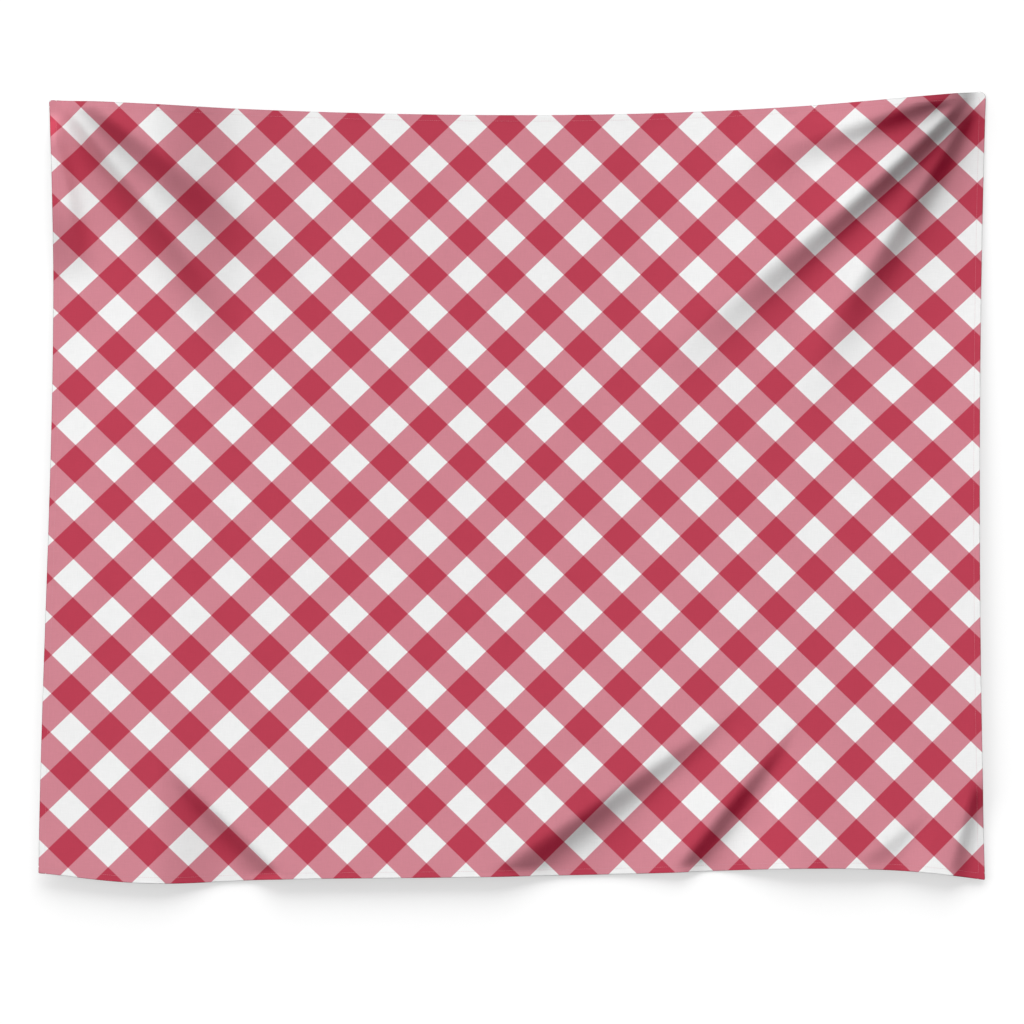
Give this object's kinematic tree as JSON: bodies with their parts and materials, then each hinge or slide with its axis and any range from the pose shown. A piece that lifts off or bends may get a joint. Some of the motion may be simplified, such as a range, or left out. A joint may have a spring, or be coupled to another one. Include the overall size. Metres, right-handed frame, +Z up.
{
  "type": "hung gingham cloth",
  "caption": "Hemmed cloth with a diagonal gingham print, hung flat in front of a wall from its two top corners, with a few slanting folds.",
  "frame": {"origin": "halfway between the two held top corners, on the wall side of the cloth", "axes": "+X along the top edge to the right as seen from the front, +Y into the wall, +Z up; the printed face looks along -Y"},
  "size_m": [1.5396, 0.0828, 1.2872],
  "materials": {
    "printed_cloth": "matt woven polyester, printed with a red, pink and white diagonal gingham; white on the back",
    "turned_hem": "the same printed cloth, turned twice to the back",
    "sewing_thread": "white polyester thread",
    "label_satin": "white satin tape, blank"
  },
  "bodies": {
    "held_corners": {"corner_top_left": "turned_hem", "corner_top_right": "turned_hem"},
    "hanging_cloth": {"printed_panel": "printed_cloth", "hem_top": "turned_hem", "hem_bottom": "turned_hem", "hem_left": "turned_hem", "hem_right": "turned_hem", "corner_bottom_left": "turned_hem", "corner_bottom_right": "turned_hem", "needle_thread_top": "sewing_thread", "needle_thread_bottom": "sewing_thread", "needle_thread_left": "sewing_thread", "needle_thread_right": "sewing_thread", "bobbin_thread_top": "sewing_thread", "bobbin_thread_bottom": "sewing_thread", "bobbin_thread_left": "sewing_thread", "bobbin_thread_right": "sewing_thread", "care_label": "label_satin", "label_thread": "sewing_thread"}
  },
  "joints": [
    {"name": "swing_from_wall", "type": "hinge", "parent": "held_corners", "child": "hanging_cloth", "pos_m": [0, -0.0018, 0], "axis": [-1, 0, -0.0096], "range_deg": [0, 60]}
  ]
}
